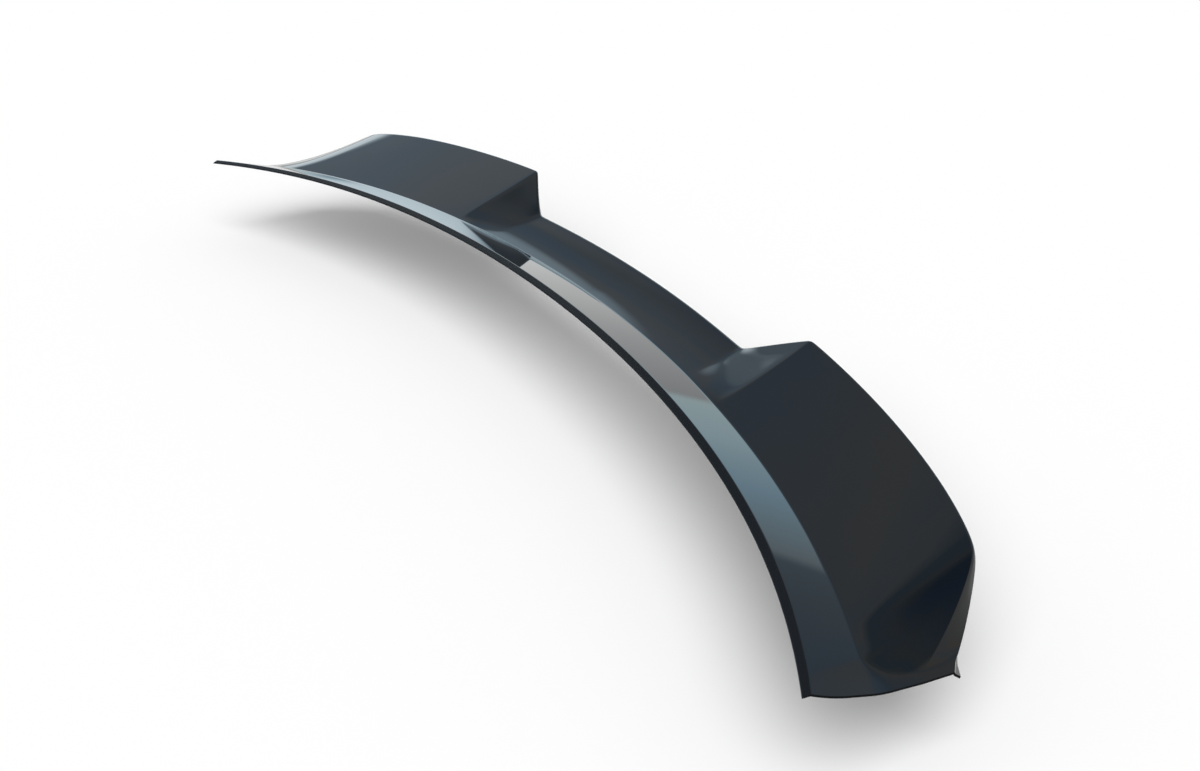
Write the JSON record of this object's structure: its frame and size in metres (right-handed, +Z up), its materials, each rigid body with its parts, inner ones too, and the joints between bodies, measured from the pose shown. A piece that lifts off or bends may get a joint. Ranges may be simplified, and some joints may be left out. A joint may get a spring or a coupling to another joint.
{
  "type": "spoiler cap",
  "caption": "Moulded black spoiler cap for a car's boot lid: curved front lip, ledge, ramp with raised wings, open underside.",
  "frame": {"origin": "middle of the front lip's lower edge, where the cap meets the panel it is bonded to", "axes": "+X across the car to the cap's right-hand end in the picture, +Y towards the rear, +Z up"},
  "size_m": [1.251, 0.2643, 0.0804],
  "materials": {
    "gloss_black": "gloss"
  },
  "bodies": {
    "root": {"spoiler_cap": "gloss_black"}
  },
  "joints": []
}
